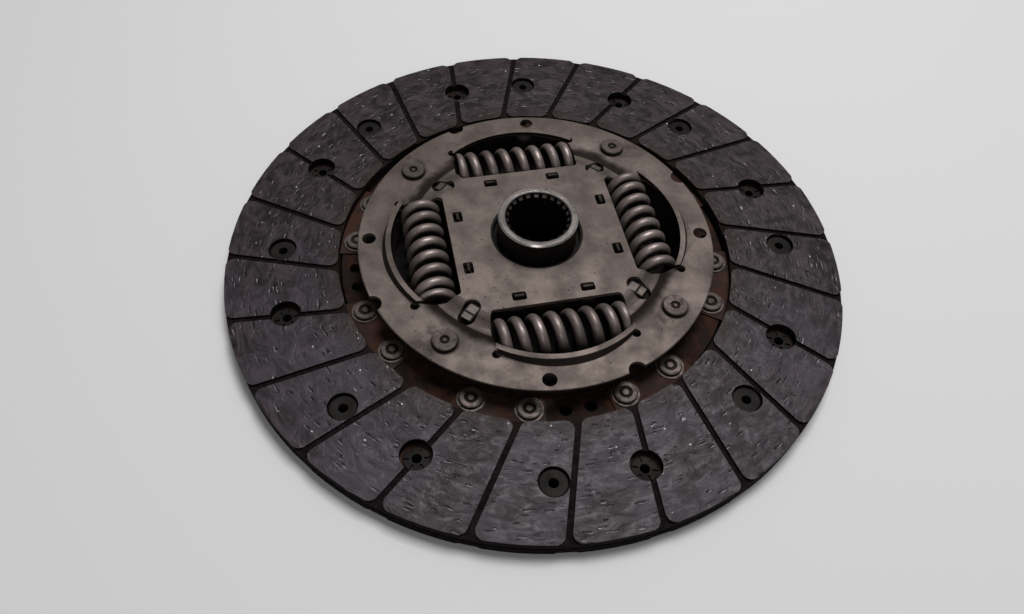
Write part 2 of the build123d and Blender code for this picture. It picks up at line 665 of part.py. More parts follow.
def friction_ring():
    """Ring on the flange, with eight lugs up through the retainer's slots."""
    base = FLANGE_TOP + RUN
    top = base + FRICTION_T
    body = ring(FRICTION_R_IN, FRICTION_R_OUT, base, top)
    for side in (-1, 1):
        lug = Pos(LUG_SLOT_U, side * LUG_SLOT_V) * Rectangle(LUG_T, LUG_W)
        body += turned(raised(lug, base, LUG_TOP_Z), WINDOW_ANGLE, WINDOWS)
    return body


def disc_spring():
    """Coned spring washer with four bent tabs that lie in the retainer's oblong holes."""
    base = FLANGE_TOP + RUN + FRICTION_T
    cone = RETAINER_MIDDLE_BASE - base - DISC_SPRING_T
    body = turned_section(
        [
            (DISC_SPRING_R_IN, base),
            (DISC_SPRING_R_OUT, base + cone),
            (DISC_SPRING_R_OUT, base + cone + DISC_SPRING_T),
            (DISC_SPRING_R_IN, base + DISC_SPRING_T),
        ]
    )
    low = base + cone
    start = DISC_SPRING_R_OUT - TAB_ROOT_OVERLAP
    under = [(start, low), (TAB_R_BEND, low - TAB_BEND_DROP), (TAB_R_END, low - TAB_END_DROP)]
    upper = [(r, z + DISC_SPRING_T) for r, z in reversed(under)]
    tab = make_face(Polyline(*under, *upper, close=True))
    tab = extrude(Plane.XZ * tab, amount=TAB_W / 2, both=True)
    return body + turned(tab, ARM_ANGLE, WINDOWS)


def friction_washer():
    return ring(FRICTION_R_IN, FRICTION_R_OUT, DRIVE_MIDDLE_TOP, FLANGE_BASE - RUN)


# ---------------------------------------------------------------- the assembly


def main():
    os.makedirs("parts", exist_ok=True)
    upper_facing = facing()
    write("facing_gearbox_side", upper_facing)
    write("facing_flywheel_side", flipped(upper_facing))

    rivet = Pos(FACING_RIVET_CIRCLE_R, 0) * facing_rivet()
    rivets = turned(rivet, SEGMENT_ANGLE + FACING_RIVET_OFFSET, SEGMENTS)
    write("facing_rivets_gearbox_side", rivets)
    write("facing_rivets_flywheel_side", [flipped(each) for each in rivets])

    for number, each in enumerate(turned(segment(), SEGMENT_ANGLE, SEGMENTS), 1):
        write(f"cushion_segment_{number}", each)
    rivet = Pos(SEGMENT_RIVET_CIRCLE_R, 0) * segment_rivet()
    rivets = [
        each
        for side in (-1, 1)
        for each in turned(rivet, SEGMENT_ANGLE + side * SEGMENT_RIVET_OFFSET, SEGMENTS)
    ]
    write("segment_rivets", rivets)

    write("drive_plate", drive_plate())
    write("retainer_plate", retainer_plate())
    rivet = Pos(STOP_CIRCLE_R, 0) * stop_rivet()
    for number, each in enumerate(turned(rivet, STOP_ANGLE, WINDOWS), 1):
        write(f"stop_rivet_{number}", each)
    for number, each in enumerate(turned(damper_spring(), WINDOW_ANGLE, WINDOWS), 1):
        write(f"damper_spring_{number}", each)

    write("splined_hub", splined_hub())
    write("hub_flange", hub_flange())
    write("centring_bush_gearbox_side", bush_gearbox_side())
    write("centring_bush_flywheel_side", bush_flywheel_side())
    write("friction_ring", friction_ring())
    write("disc_spring", disc_spring())
    write("friction_washer_flywheel_side", friction_washer())


main()
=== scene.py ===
import json
import math

import bmesh
import bpy
from mathutils import Matrix, Vector

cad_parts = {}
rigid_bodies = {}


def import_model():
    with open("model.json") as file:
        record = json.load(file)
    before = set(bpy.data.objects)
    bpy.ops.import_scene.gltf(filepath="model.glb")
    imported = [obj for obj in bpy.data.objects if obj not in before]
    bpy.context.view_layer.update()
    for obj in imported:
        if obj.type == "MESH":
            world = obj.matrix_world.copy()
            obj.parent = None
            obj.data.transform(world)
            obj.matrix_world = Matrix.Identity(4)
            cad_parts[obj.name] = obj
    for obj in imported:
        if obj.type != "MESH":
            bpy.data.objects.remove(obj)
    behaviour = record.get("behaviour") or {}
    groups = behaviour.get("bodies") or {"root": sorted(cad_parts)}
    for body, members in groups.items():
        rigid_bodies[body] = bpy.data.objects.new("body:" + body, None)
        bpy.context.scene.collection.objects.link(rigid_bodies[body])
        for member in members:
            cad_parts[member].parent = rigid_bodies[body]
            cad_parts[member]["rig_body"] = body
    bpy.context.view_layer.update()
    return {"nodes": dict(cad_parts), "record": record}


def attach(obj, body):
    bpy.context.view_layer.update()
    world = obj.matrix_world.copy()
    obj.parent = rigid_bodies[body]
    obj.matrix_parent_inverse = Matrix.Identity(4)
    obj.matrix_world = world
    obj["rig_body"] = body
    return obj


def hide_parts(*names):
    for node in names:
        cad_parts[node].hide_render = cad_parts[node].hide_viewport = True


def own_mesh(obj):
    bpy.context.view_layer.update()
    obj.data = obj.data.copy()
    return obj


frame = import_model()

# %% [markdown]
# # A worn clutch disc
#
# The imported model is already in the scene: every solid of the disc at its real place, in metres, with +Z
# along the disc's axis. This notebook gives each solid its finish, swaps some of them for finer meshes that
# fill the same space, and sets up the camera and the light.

MM = 0.001


# %% [markdown]
# ## Camera
#
# The disc lies flat and is seen from its front, about 50 degrees above the horizon, from close by. That
# nearness shows in the picture: the front of the ring is wider than the back. A short lens does it, so the
# camera stands only about 32 cm from the hub. Its turn is written as three Euler angles, in degrees.

# %% Camera
CAMERA_AT = Vector((0.0, -200.1, 244.0)) * MM
CAMERA_TURN = [math.radians(angle) for angle in (35.664, -2.009, 5.056)]
CAMERA_LENS = 27.247
CAMERA_NEAREST = 0.01

camera_data = bpy.data.cameras.new("camera")
camera_data.lens = CAMERA_LENS
camera_data.clip_start = CAMERA_NEAREST
camera = bpy.data.objects.new("camera", camera_data)
camera.location = CAMERA_AT
camera.rotation_euler = CAMERA_TURN
bpy.context.scene.collection.objects.link(camera)
bpy.context.scene.camera = camera
bpy.context.scene.view_settings.view_transform = "Standard"
print("camera to hub in mm:", round(CAMERA_AT.length / MM, 1))


# %% [markdown]
# ## Floor and light
#
# A wide pale floor, with a dark round mat under the middle of the disc. The mat never shows past the facings.
# Its near-black is painted shade: a clutch disc is full of openings, and a pale floor would shine up through
# them and wash out the dark depths of the damper. Three soft lamps light the disc: a strong one overhead, a
# wide weak one behind, which flat steel mirrors to the camera, and a small one in front, which puts a thin
# bright line on each edge. The world adds a little light from all round, so that no shadow is quite black.

# %% Floor
FLOOR_R = 3.0
MAT_R = 112 * MM
MAT_BORE_R = 0.001 * MM
PALE_FLOOR = (0.66, 0.655, 0.65)
# painted shade: the near-black of the round mat under the disc
PAINTED_SHADE_MAT = (0.006, 0.005, 0.005)


def studio_ring(name, r_in, r_out, height, colour, sides=96):
    """A flat dull ring of floor between two radii."""
    material = bpy.data.materials.new(name)
    material.use_nodes = True
    shader = material.node_tree.nodes["Principled BSDF"]
    shader.inputs["Base Color"].default_value = (*colour, 1)
    shader.inputs["Roughness"].default_value = 0.9
    shader.inputs["Specular IOR Level"].default_value = 0.1
    turns = [2 * math.pi * k / sides for k in range(sides)]
    points = [(r * math.cos(t), r * math.sin(t), height) for r in (r_in, r_out) for t in turns]
    faces = [(k, sides + k, sides + (k + 1) % sides, (k + 1) % sides) for k in range(sides)]
    mesh = bpy.data.meshes.new(name)
    mesh.from_pydata(points, [], faces)
    mesh.materials.append(material)
    piece = bpy.data.objects.new(name, mesh)
    bpy.context.scene.collection.objects.link(piece)


studio_ring("floor", MAT_R, FLOOR_R, 0.0, PALE_FLOOR)
studio_ring("mat", MAT_BORE_R, MAT_R, 0.0, PAINTED_SHADE_MAT)
print("floor of", FLOOR_R, "m with a dark mat of", round(MAT_R / MM), "mm in it")


# %% Lamps and world
WARM_WHITE = (1.0, 0.985, 0.965)
COOL_WHITE = (0.99, 0.99, 1.0)
WORLD_COLOUR = (0.80, 0.80, 0.82, 1)
WORLD_STRENGTH = 0.17


def lamp(name, place, size, watts, colour):
    """A square soft lamp that looks at the middle of the disc; place and size are in metres."""
    data = bpy.data.lights.new(name, "AREA")
    data.shape = "SQUARE"
    data.size = size
    data.energy = watts
    data.color = colour
    piece = bpy.data.objects.new(name, data)
    piece.location = place
    piece.rotation_euler = (-Vector(place)).to_track_quat("-Z", "Y").to_euler()
    bpy.context.scene.collection.objects.link(piece)
    print(name, "of", watts, "W")


lamp("back_lamp", (0.15, 0.66, 1.05), 0.7, 1.2, WARM_WHITE)
lamp("top_lamp", (0.14, 0.32, 1.15), 0.5, 12.0, COOL_WHITE)
lamp("front_lamp", (0.10, -0.95, 0.75), 0.35, 1.5, WARM_WHITE)

world = bpy.data.worlds.new("studio")
world.use_nodes = True
world.node_tree.nodes["Background"].inputs["Color"].default_value = WORLD_COLOUR
world.node_tree.nodes["Background"].inputs["Strength"].default_value = WORLD_STRENGTH
bpy.context.scene.world = world


# %% [markdown]
# ## A short way to write shaders
#
# Every finish below is a small tree of nodes. `Finish` keeps each step to one line: it adds a node, and
# each input is given either a number or the output of another node. Sizes are in millimetres, as on a
# drawing, and every pattern reads Object coordinates, so it stays on the part when the part is moved.

# %% Shader helper
MARK_R = 100.0  # mm; at this radius a mark that runs round the axis has its true length
WARP_SCALE = 0.45
WARP_REACH = 8


class Finish:
    """A Principled material that is built up one node at a time."""

    def __init__(self, name, **constants):
        self.material = bpy.data.materials.new(name)
        self.material.use_nodes = True
        self.tree = self.material.node_tree
        self.shader = self.tree.nodes["Principled BSDF"]
        for socket, value in constants.items():
            self.shader.inputs[socket.replace("_", " ")].default_value = value
        place = self.node("ShaderNodeTexCoord").outputs["Object"]
        in_mm = self.node("ShaderNodeVectorMath", {0: place, 3: 1 / MM}, operation="SCALE")
        self.place = in_mm.outputs[0]
        self.x, self.y, self.z = self.node("ShaderNodeSeparateXYZ", {0: self.place}).outputs
        self.flat = self.node("ShaderNodeCombineXYZ", {"X": self.x, "Y": self.y, "Z": 0.0}).outputs[0]
        length = self.node("ShaderNodeVectorMath", {0: self.flat}, operation="LENGTH")
        self.radius = length.outputs["Value"]
        self.angle = self.math("ARCTAN2", self.y, self.x)

    def node(self, kind, inputs=None, **settings):
        """One node; each input is a number or another node's output."""
        made = self.tree.nodes.new(kind)
        for key, value in settings.items():
            setattr(made, key, value)
        for socket, value in (inputs or {}).items():
            if isinstance(value, bpy.types.NodeSocket):
                self.tree.links.new(value, made.inputs[socket])
            else:
                made.inputs[socket].default_value = value
        return made

    def math(self, operation, first, second=0.0, third=0.0, clamp=False):
        made = self.node("ShaderNodeMath", {0: first, 1: second, 2: third}, operation=operation,
                         use_clamp=clamp)
        return made.outputs[0]

    def times(self, *values):
        result = values[0]
        for value in values[1:]:
            result = self.math("MULTIPLY", result, value)
        return result

    def noise(self, size, detail=3.0, rough=0.55, where=None, seed=0.0, bend=0.0):
        """Cloudy noise from 0 to 1; size is the width of its clouds in mm."""
        shift = (seed, seed * 7.1, seed * 3.3)
        moved = self.node("ShaderNodeVectorMath", {0: where or self.place, 1: shift})
        inputs = {"Vector": moved.outputs[0], "Scale": 1 / size, "Detail": detail,
                  "Roughness": rough, "Distortion": bend}
        return self.node("ShaderNodeTexNoise", inputs).outputs["Fac"]

    def cells(self, size, where=None, output="Distance"):
        """One of a cell pattern's outputs: the distance to the cell's middle, or the cell's colour."""
        inputs = {"Vector": where or self.place, "Scale": 1 / size, "Randomness": 1.0}
        return self.node("ShaderNodeTexVoronoi", inputs).outputs[output]

    def ramp(self, value, low, high, to_low=0.0, to_high=1.0):
        """Smooth step between two values of its input."""
        inputs = {"Value": value, "From Min": low, "From Max": high, "To Min": to_low, "To Max": to_high}
        return self.node("ShaderNodeMapRange", inputs, interpolation_type="SMOOTHSTEP").outputs["Result"]

    def spots(self, size, share, radius, where=None):
        """Round spots with soft edges, in a share of the cells."""
        near = self.ramp(self.cells(size, where), radius / size, 0.6 * radius / size)
        pick = self.node("ShaderNodeSeparateColor", {0: self.cells(size, where, "Color")}).outputs[0]
        return self.times(near, self.ramp(pick, 1 - share, 1 - share + 0.02))

    def warped(self, where, amount):
        """Coordinates pushed about by a slow noise, so that strokes on them bend and tilt."""
        push = self.node("ShaderNodeTexNoise", {"Vector": where, "Scale": WARP_SCALE, "Detail": 2.0})
        away = self.node("ShaderNodeVectorMath", {0: push.outputs["Color"], 1: (0.5, 0.5, 0.5)},
                         operation="SUBTRACT")
        away = self.node("ShaderNodeVectorMath", {0: away.outputs[0], 3: amount * WARP_REACH},
                         operation="SCALE")
        return self.node("ShaderNodeVectorMath", {0: where, 1: away.outputs[0]}).outputs[0]

    def mix(self, share, first, second):
        """The first colour where the share is 0, the second where it is 1."""
        inputs = {"Factor": share, 6: first, 7: second}
        return self.node("ShaderNodeMix", inputs, data_type="RGBA").outputs[2]

    def swept(self, along):
        """Coordinates in mm for marks that run round the axis, stretched along the turning."""
        turned = self.math("MULTIPLY", self.angle, MARK_R / along)
        return self.node("ShaderNodeCombineXYZ", {"X": self.radius, "Y": turned, "Z": self.z}).outputs[0]

    def near(self, places, inner, outer):
        """1 inside a distance of any of some (x, y) places, falling to 0 at an outer one."""
        total = None
        for x, y in places:
            gap = self.node("ShaderNodeVectorMath", {0: self.flat, 1: (x, y, 0)}, operation="DISTANCE")
            mark = self.ramp(gap.outputs["Value"], outer, inner)
            total = mark if total is None else self.math("MAXIMUM", total, mark)
        return total

    def bump(self, height, depth, before=None):
        """Bump of a height from 0 to 1; depth is in mm."""
        inputs = {"Height": height, "Distance": depth * MM, "Strength": 1.0}
        if before is not None:
            inputs["Normal"] = before
        return self.node("ShaderNodeBump", inputs).outputs["Normal"]

    def set(self, **sockets):
        """Joins the last steps to the shader, and gives the finished material back."""
        for socket, value in sockets.items():
            target = self.shader.inputs[socket.replace("_", " ")]
            if isinstance(value, bpy.types.NodeSocket):
                self.tree.links.new(value, target)
            else:
                target.default_value = value
        return self.material


def rgb(red, green, blue):
    """A colour with the full opacity that a socket asks for."""
    return (red, green, blue, 1)


# %% [markdown]
# ## Friction lining
#
# The facings are pressed from fibre, resin and brass. Worn, they are dark grey with a slight purple cast,
# smoothed round the disc, with short nicks that mostly follow the turning and a few bright specks. On the
# disc's front side, towards -y, a painted sheen turns them bluish grey in clouds. Noise on coordinates that
# are stretched along the turning gives the smears. The nicks are spots on the same kind of coordinates, bent
# a little so that no two lie quite parallel. They are in the bump as well as in the colour, so the lamp finds
# their edges; their colour is painted shade in the torn stroke and a painted highlight on the burr beside it.
# The pads' edges are rubbed lighter, and so the bevels get the same finish in a lighter tone, which is a
# painted highlight as well as wear.

# %% Friction lining
LINING_DARK, LINING_LIGHT = rgb(0.0090, 0.0057, 0.0067), rgb(0.040, 0.0290, 0.0340)
SMEAR_LIGHT, SMEAR_DARK = rgb(0.074, 0.060, 0.069), rgb(0.0065, 0.0046, 0.0050)
# painted sheen: the bluish grey of the pads on the front side
PAINTED_FRONT_SHEEN = rgb(0.060, 0.052, 0.067)
BROWN_INSIDE = rgb(0.024, 0.0135, 0.0115)
# painted shade for the nicks' torn strokes, and a painted highlight for their burrs
NICK_PAINTED_SHADE, BURR_PAINTED_HIGHLIGHT = rgb(0.0022, 0.0014, 0.0016), rgb(0.27, 0.245, 0.265)
BRASS_SPECK = rgb(0.50, 0.48, 0.48)
# the edges' lighter tone: wear and a painted highlight
RUBBED_AND_HIGHLIGHT_LINING = rgb(0.12, 0.108, 0.115)
PAINTED_SHEEN_SIDE_Y = (20, -70)
BROWN_BAND_R = (87, 78)
NICK = {"size": 1.5, "share": 0.45, "radius": 0.47}
BURR_OFFSET = (-0.34, 0.0, 0.0)


def lining_finish(name, lift=0.0):
    """The lining after wear; lift is how far its tone goes towards the edges' lighter tone of wear and
    painted highlight.
    """
    f = Finish(name, Specular_IOR_Level=0.18)
    smear = f.noise(3.0, 3.0, 0.55, f.swept(2.2), 0.3, 1.0)
    broad = f.noise(7.0, 4.0, 0.62, f.swept(1.5), 4.0, 1.4)
    cloud = f.noise(30, 2.0, 0.5, None, 7.0)
    grain = f.noise(0.7, 3.0, 0.7)
    tone = f.mix(f.ramp(broad, 0.36, 0.64), LINING_DARK, LINING_LIGHT)
    tone = f.mix(f.ramp(smear, 0.50, 0.72, 0.0, 0.45), tone, SMEAR_LIGHT)
    tone = f.mix(f.ramp(smear, 0.46, 0.28, 0.0, 0.5), tone, SMEAR_DARK)
    # painted sheen: bluish clouds on the front side only, towards -y
    blue = f.times(f.ramp(cloud, 0.40, 0.66), f.ramp(f.y, *PAINTED_SHEEN_SIDE_Y))
    tone = f.mix(f.times(blue, 0.4), tone, PAINTED_FRONT_SHEEN)
    tone = f.mix(f.ramp(f.radius, *BROWN_BAND_R, 0.0, 0.6), tone, BROWN_INSIDE)
    # Short nicks along the turning: a torn stroke of painted shade, with a raised burr and its painted
    # highlight on the outer side.
    bent = f.warped(f.swept(3.6), 0.34)
    aside = f.node("ShaderNodeVectorMath", {0: bent, 1: BURR_OFFSET}).outputs[0]
    where = f.ramp(f.noise(10, 2.0, 0.5, None, 15.0), 0.38, 0.58, 0.15, 1.0)
    tear_and_shade = f.times(f.spots(where=bent, **NICK), where)
    burr_and_highlight = f.math("SUBTRACT", f.times(f.spots(where=aside, **NICK), where), tear_and_shade, clamp=True)
    tone = f.mix(f.times(tear_and_shade, 0.95), tone, NICK_PAINTED_SHADE)
    tone = f.mix(f.times(burr_and_highlight, 0.85), tone, BURR_PAINTED_HIGHLIGHT)
    speck = f.spots(2.2, 0.06, 0.36, f.swept(1.4))
    tone = f.mix(f.times(speck, 0.9), tone, BRASS_SPECK)
    if lift:
        tone = f.mix(lift, tone, RUBBED_AND_HIGHLIGHT_LINING)
    rough = f.math("SUBTRACT", f.ramp(smear, 0.3, 0.75, 0.55, 0.34), f.times(burr_and_highlight, 0.12))
    height = f.math("ADD", f.times(broad, 0.6), f.times(f.math("SUBTRACT", burr_and_highlight, tear_and_shade), 0.3))
    skin = f.bump(grain, 0.05)
    skin = f.bump(height, 0.9, skin)
    return f.set(Base_Color=tone, Roughness=rough, Normal=skin)


LINING = lining_finish("friction_lining")
# the bevels' finish: lighter, for wear and a painted highlight
LINING_EDGE = lining_finish("friction_lining_edge", 0.65)
print("lining built from", len(LINING.node_tree.nodes), "nodes")


# %% [markdown]
# ## Lining dust and painted shade
#
# The grooves take up what the lining sheds, and it gathers in the rivet holes as well: a black-brown dust
# that never shines. The same near-black goes on every wall of the facings, their rims included, as painted
# shade. A dark colour alone would still look grey, because a smooth skin mirrors the lamps however dark it
# is, so this second material also has almost no mirror light of its own.

# %% Lining dust and painted shade
DUST_DARK, DUST_LIGHT = rgb(0.0038, 0.0027, 0.0030), rgb(0.0115, 0.0080, 0.0085)
DUST_BROWN = rgb(0.020, 0.0105, 0.0095)
DUST_BROWN_R = (90, 79)


def dust_and_shade_finish(name):
    """Black-brown lining dust and painted shade in the grooves, in the rivets' holes and round the edges."""
    f = Finish(name, Specular_IOR_Level=0.06)
    clump = f.noise(1.6, 4.0, 0.65)
    tone = f.mix(f.ramp(clump, 0.35, 0.70), DUST_DARK, DUST_LIGHT)
    tone = f.mix(f.ramp(f.radius, *DUST_BROWN_R, 0.0, 0.4), tone, DUST_BROWN)
    return f.set(Base_Color=tone, Roughness=0.9, Normal=f.bump(clump, 0.25))


DUST_AND_SHADE = dust_and_shade_finish("lining_dust_and_shade")
print("dust built from", len(DUST_AND_SHADE.node_tree.nodes), "nodes")


# %% [markdown]
# ## Steels
#
# Every steel here is the same story in other amounts: a cloudy base tone, a finer mottle, brown dirt where
# hands and air don't reach, small pits, and a skin that is rougher wherever it is darkened. `steel_finish`
# tells that story once. Each part adds its own dark marks through `extra`: dirt and rust on some parts,
# painted shade on others, and both on some. It is a function that gives 0 where the steel keeps its tone and
# 1 where it is fully darkened, and the part can add its own low forms through `relief`.

# %% Steel finish
PIT_BLACK = rgb(0.012, 0.009, 0.008)


def steel_finish(name, light, dark, brown, dirt=0.4, rough=0.45, pits=0.5, metal=0.8, extra=None,
                 shine=0.12, relief=None):
    """Used steel in two tones under brown dirt, and under painted shade where extra gives it; dirt, rough,
    pits, metal and shine go from 0 to 1.
    """
    f = Finish(name, Metallic=metal, Specular_IOR_Level=shine)
    cloud = f.noise(13, 4.0, 0.6, None, 0.4)
    fine = f.noise(1.3, 4.0, 0.65)
    pit = f.spots(2.3, 0.20, 0.33)
    tone = f.mix(f.ramp(cloud, 0.32, 0.68), dark, light)
    tone = f.mix(f.ramp(fine, 0.35, 0.75, 0.0, 0.30), tone, dark)
    speckle = f.ramp(f.noise(0.55, 2.0, 0.6, None, 8.0), 0.52, 0.72, 0.0, 0.35)
    tone = f.mix(speckle, tone, dark)
    stain = f.ramp(f.noise(9, 4.0, 0.6, None, 5.0), 0.50, 0.72)
    dull = f.times(stain, dirt)
    if extra:
        dull = f.math("MAXIMUM", dull, extra(f))
    tone = f.mix(dull, tone, brown)
    tone = f.mix(f.times(pit, pits), tone, PIT_BLACK)
    skin = f.bump(fine, 0.035)
    skin = f.bump(f.math("SUBTRACT", 1.0, pit), 0.15 * pits, skin)
    if relief:
        skin = f.bump(relief(f), 1.0, skin)
    gloss = f.ramp(cloud, 0.3, 0.7, rough + 0.08, rough - 0.04)
    gloss = f.math("ADD", gloss, f.times(dull, 0.25), clamp=True)
    return f.set(Base_Color=tone, Roughness=gloss, Normal=skin)


# %% [markdown]
# ## Places on the damper
#
# Dirt and painted shade follow the shapes, so their rules need to know where they are. The four spring
# windows, the four stop rivets and the four tabs of the disc spring each stand at quarter turns round the
# axis. Lengths are in millimetres and angles in degrees, as on the drawing.

# %% Places on the damper
WINDOW_ANGLE = 16.45
TAB_ANGLE = WINDOW_ANGLE + 45
MIDDLE_Z = 10.6
STOP_RIVET_AT = (60.28, 61.64)
SPRING_U = 43.0


def round_the_disc(radius, angle, count=4):
    """Places at even steps round the axis, in mm."""
    turns = [math.radians(angle + 360 / count * k) for k in range(count)]
    return [(radius * math.cos(t), radius * math.sin(t)) for t in turns]


def quarter_frame(f, angle):
    """Distance out along the nearest of four axes at quarter turns, and sideways from it."""
    turn = math.radians(angle)
    cos, sin = math.cos(turn), math.sin(turn)
    first = f.math("ABSOLUTE", f.math("ADD", f.times(f.x, cos), f.times(f.y, sin)))
    second = f.math("ABSOLUTE", f.math("SUBTRACT", f.times(f.y, cos), f.times(f.x, sin)))
    return f.math("MAXIMUM", first, second), f.math("MINIMUM", first, second)


print("stop rivets at", [(round(x, 1), round(y, 1)) for x, y in round_the_disc(*STOP_RIVET_AT)])


# %% [markdown]
# ## Dirt, painted shade and bends of the retainer plate
#
# The retainer plate is a pressed sheet. Oil and dust settle where a cloth doesn't reach: in the low ring
# round its raised middle and round the heads of the stop rivets, and painted shade darkens these places too.
# The upright lips of the windows and the plate's outer side are darkened with painted shade. A noise is added
# to the radius before the ramp, so that no darkening ends on a circle. The press also rounds each bend. The
# solid has the bend itself, and a low bump rounds it off.

# %% Dirt, painted shade and bends of the retainer plate
# dirt and painted shade in the low ring at the foot of the raised middle
RING_DARKEST_R, RING_UNDARKENED_R = 51.5, 56.0
SHELF_R = (49.75, 49.95)
# the stains with painted shade beside the stop rivets lie this far out (mm) and round (degrees)
RIVET_STAIN_AND_SHADE_SHIFT = (2.0, -4.0)
# painted shade on the lips' outer faces and on the plate's outer side
LIP_R = (50.5, 52.0)
LIP_FOOT_Z, LIP_TOP_Z = (14.65, 14.85), (17.25, 17.0)
OUTER_SIDE_R, OUTER_SIDE_Z = (68.9, 69.1), (14.35, 14.1)
BENDS = ((43.5, -1), (46.9, 1))
BEND_REACH, BEND_SLOPE = 1.6, 0.81


def retainer_dirt_and_shade(f):
    """Dirt and painted shade in the low ring round the raised middle and round the stop rivets, and painted
    shade on the lips' sides and the plate's outer side.
    """
    ragged = f.noise(5, 4.0, 0.6, None, 21.0)
    foot = f.math("ADD", f.radius, f.times(f.math("SUBTRACT", ragged, 0.5), 5.0))
    ring = f.times(f.ramp(foot, RING_UNDARKENED_R, RING_DARKEST_R), f.ramp(f.radius, *SHELF_R), 0.96)
    rivet_r, rivet_angle = STOP_RIVET_AT
    stain_out, stain_turn = RIVET_STAIN_AND_SHADE_SHIFT
    # painted shade in a ring close round each stop rivet's head, and stains with painted shade beside it
    close = f.near(round_the_disc(rivet_r, rivet_angle), 4.6, 6.0)
    wide = f.near(round_the_disc(rivet_r + stain_out, rivet_angle + stain_turn), 4.5, 10.0)
    stain = f.times(wide, f.ramp(ragged, 0.36, 0.72, 0.0, 0.6))
    rivets = f.math("MAXIMUM", f.times(close, 0.75), stain)
    # painted shade on the windows' lips and on the plate's outer side
    lip = f.times(f.ramp(f.z, *LIP_FOOT_Z), f.ramp(f.z, *LIP_TOP_Z), f.ramp(f.radius, *LIP_R), 0.88)
    side = f.times(f.ramp(f.radius, *OUTER_SIDE_R), f.ramp(f.z, *OUTER_SIDE_Z), 0.9)
    return f.math("MAXIMUM", f.math("MAXIMUM", ring, rivets), f.math("MAXIMUM", lip, side))


def soft_bends(f):
    """Rounds the two bends between the raised middle and the shelf; the result is a height in mm."""
    total = 0.0
    for radius, sign in BENDS:
        away = f.math("ABSOLUTE", f.math("SUBTRACT", f.radius, radius))
        inside = f.math("MAXIMUM", f.math("SUBTRACT", BEND_REACH, away), 0.0)
        total = f.math("ADD", total, f.times(inside, inside, sign * BEND_SLOPE / (4 * BEND_REACH)))
    return total


PLATE = steel_finish("plate_steel", rgb(0.150, 0.121, 0.107), rgb(0.085, 0.068, 0.060),
                     rgb(0.012, 0.0078, 0.0066), dirt=0.22, rough=0.50, pits=0.8, metal=0.45,
                     extra=retainer_dirt_and_shade, relief=soft_bends)
# the retainer's bevels: lighter, for wear and a painted highlight
PLATE_EDGE = steel_finish("plate_steel_edge", rgb(0.27, 0.235, 0.215), rgb(0.15, 0.128, 0.115),
                          rgb(0.04, 0.030, 0.026), dirt=0.4, rough=0.42, pits=0.3, metal=0.6)
print("retainer plate's finish built from", len(PLATE.node_tree.nodes), "nodes")


# %% [markdown]
# ## Browned steel, and the black inside
#
# The cushion segments and the drive plate have no paint. Their open rim rusts, and inside the damper they are
# black: painted shade. One rule does both: rust in patches, and only past the radius where the retainer plate
# no longer covers them. The sheets inside the damper get the same rule on a much darker base, which is
# painted shade.

# %% Browned steel, and the black inside
RUST_STARTS_R, RUST_FULL_R = 64, 67


def rust_patches(f):
    """Rust on the open rim, but none in the painted shade inside the damper."""
    rust = f.ramp(f.noise(6.5, 4.0, 0.65, None, 31.0), 0.42, 0.62, 0.15, 0.9)
    return f.times(rust, f.ramp(f.radius, RUST_STARTS_R, RUST_FULL_R))


BROWNED = steel_finish("browned_steel", rgb(0.027, 0.0180, 0.0160), rgb(0.013, 0.0088, 0.0080),
                       rgb(0.050, 0.022, 0.015), dirt=0.4, rough=0.60, pits=0.3, metal=0.2,
                       extra=rust_patches)
# painted shade: a near-black base for the drive plate and the hub's flange, inside the damper
PAINTED_SHADE_INSIDE = steel_finish("painted_shade_drive_steel", rgb(0.012, 0.0085, 0.0075), rgb(0.006, 0.0045, 0.004),
                            rgb(0.036, 0.016, 0.011), dirt=0.1, rough=0.70, pits=0.2, metal=0.0,
                            extra=rust_patches, shine=0.06)
DARK_RING = steel_finish("friction_ring_steel", rgb(0.034, 0.028, 0.025), rgb(0.014, 0.0115, 0.010),
                         rgb(0.007, 0.005, 0.0045), dirt=0.6, rough=0.50, pits=0.4, metal=0.4)
print("made", BROWNED.name, PAINTED_SHADE_INSIDE.name, DARK_RING.name)


# %% [markdown]
# ## Springs and tabs
#
# A damper spring rubs on its windows. Each coil keeps its plain tone on its crest, and dirt and painted shade
# turn it black in the valley to the next. The rule measures the distance from the spring's own axis, and a
# noise makes the border uneven. The tabs of the disc spring, in the oblong holes, keep their plain tone in
# the middle, and painted shade turns them black at their sides, at their root and in the bend.

# %% Springs and tabs
CREST_R, VALLEY_R = 7.7, 5.9
TAB_SIDE = (1.5, 2.2)
TAB_BEND_FROM, TAB_BEND_TO = (44.4, 45.0), (45.8, 45.3)
TAB_ROOT = (42.0, 41.0)


def valley_dirt_and_shade(f):
    """A coil keeps its tone on its crest, and dirt and painted shade turn it black where it faces the next
    coil.
    """
    out, _ = quarter_frame(f, WINDOW_ANGLE)
    out = f.math("SUBTRACT", out, SPRING_U)
    up = f.math("SUBTRACT", f.z, MIDDLE_Z)
    away = f.math("SQRT", f.math("ADD", f.times(out, out), f.times(up, up)))
    uneven = f.math("SUBTRACT", f.noise(3.0, 3.0, 0.6, None, 2.0), 0.5)
    dark_reach = f.math("ADD", away, f.times(uneven, 0.9))
    return f.ramp(dark_reach, CREST_R, VALLEY_R, 0.0, 0.93)


